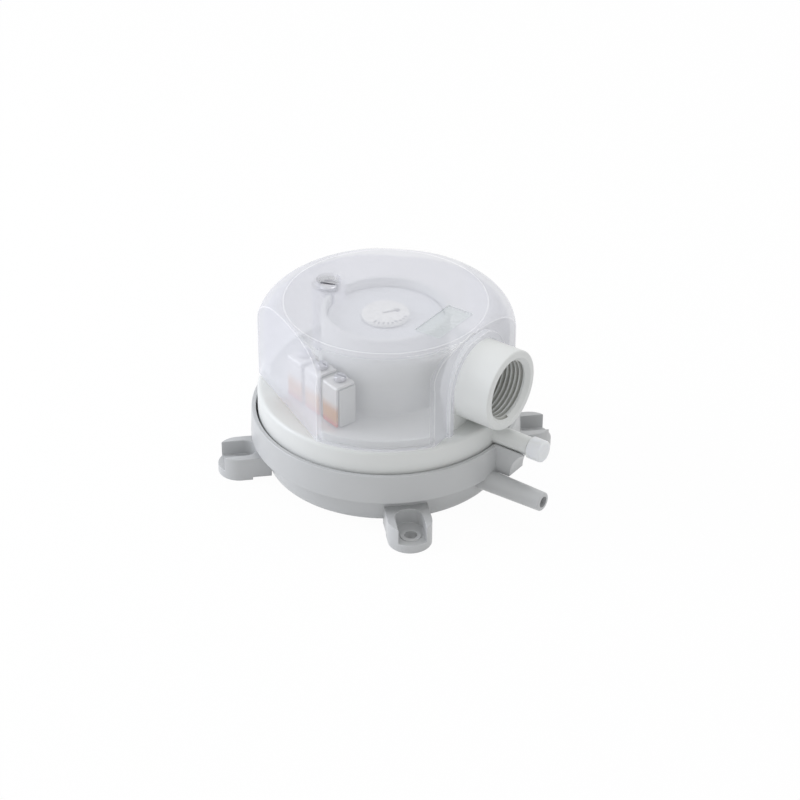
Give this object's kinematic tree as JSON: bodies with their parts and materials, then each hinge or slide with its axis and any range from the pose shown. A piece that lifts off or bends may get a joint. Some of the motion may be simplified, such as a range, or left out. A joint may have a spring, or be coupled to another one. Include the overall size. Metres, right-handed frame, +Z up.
{
  "type": "differential pressure switch",
  "caption": "Round plastic pressure switch with a clear cover, threaded cable inlet, two hose nozzles, fixing lugs and a setting knob.",
  "frame": {"origin": "on the housing's axis, in the mounting plane of the lugs and the base pad", "axes": "+X along the cable inlet and both nozzles, +Z up through the cover"},
  "size_m": [0.1041, 0.0852, 0.0576],
  "materials": {
    "lower_plastic": "moulded, fine satin",
    "upper_plastic": "moulded, fine satin",
    "clear_plastic": "clear, polished",
    "cap_plastic": "milky, soft sheen",
    "white_plastic": "moulded, satin",
    "switch_plastic": "moulded, satin",
    "mechanism_plastic": "moulded, satin",
    "plate_plastic": "moulded, satin",
    "button_plastic": "moulded",
    "silicone": "translucent, matt",
    "steel": "zinc plated",
    "copper": "stamped, bright"
  },
  "bodies": {
    "housing": {"lower_housing": "lower_plastic", "upper_housing": "upper_plastic", "scale_ring": "white_plastic", "diaphragm": "silicone", "range_spring": "steel", "switch_body": "switch_plastic", "lever_pin": "steel", "terminal_common": "copper", "terminal_open": "copper", "terminal_closed": "copper"},
    "cover": {"cover": "clear_plastic"},
    "cover_screw": {"cover_screw": "steel"},
    "cap": {"nozzle_cap": "cap_plastic"},
    "knob": {"dial_knob": "white_plastic", "shaft_clip": "steel"},
    "spring_seat": {"spring_seat": "mechanism_plastic"},
    "plate": {"diaphragm_plate": "plate_plastic"},
    "lever": {"switch_lever": "mechanism_plastic"},
    "button": {"switch_button": "button_plastic"},
    "common_screw": {"terminal_screw_common": "steel"},
    "open_screw": {"terminal_screw_open": "steel"},
    "closed_screw": {"terminal_screw_closed": "steel"}
  },
  "joints": [
    {"name": "knob_turn", "type": "hinge", "parent": "housing", "child": "knob", "pos_m": [0, 0, 0.052], "axis": [0, 0, 1], "range_deg": [-180.5, 90.5]},
    {"name": "seat_slide", "type": "slide", "parent": "housing", "child": "spring_seat", "axis": [0, 0, 1], "range_m": [-0.002, 0.001], "deforming": ["range_spring"]},
    {"name": "plate_slide", "type": "slide", "parent": "housing", "child": "plate", "axis": [0, 0, 1], "range_m": [0, 0.0008], "stiffness_N_per_m": 300, "springref_m": -0.002, "deforming": ["diaphragm", "range_spring"]},
    {"name": "lever_tilt", "type": "hinge", "parent": "housing", "child": "lever", "pos_m": [-0.00537, -0.01875, 0.03047], "axis": [0.9613, -0.2756, 0], "range_deg": [0, 9.2]},
    {"name": "button_slide", "type": "slide", "parent": "housing", "child": "button", "axis": [-0.2756, -0.9613, 0], "range_m": [0, 0.00065]},
    {"name": "cover_lift", "type": "slide", "parent": "housing", "child": "cover", "axis": [0, 0, 1], "range_m": [0, 0.035]},
    {"name": "cover_screw_turn", "type": "hinge", "parent": "cover", "child": "cover_screw", "pos_m": [-0.022, 0, 0.0545], "axis": [0, 0, 1], "continuous": true},
    {"name": "cap_pull", "type": "slide", "parent": "housing", "child": "cap", "axis": [1, 0, 0], "range_m": [0, 0.012]},
    {"name": "common_screw_turn", "type": "hinge", "parent": "housing", "child": "common_screw", "pos_m": [-0.0154, -0.02107, 0.0435], "axis": [0, 0, 1], "continuous": true},
    {"name": "open_screw_turn", "type": "hinge", "parent": "housing", "child": "open_screw", "pos_m": [-0.00675, -0.02355, 0.0435], "axis": [0, 0, 1], "continuous": true},
    {"name": "closed_screw_turn", "type": "hinge", "parent": "housing", "child": "closed_screw", "pos_m": [0.0019, -0.02603, 0.0435], "axis": [0, 0, 1], "continuous": true}
  ],
  "couplings": [
    {"joint": "knob_turn", "follows": "seat_slide", "rad_per_m": 1570.8},
    {"joint": "lever_tilt", "follows": "plate_slide", "rad_per_m": 200},
    {"joint": "button_slide", "follows": "plate_slide", "ratio": 0.8}
  ]
}
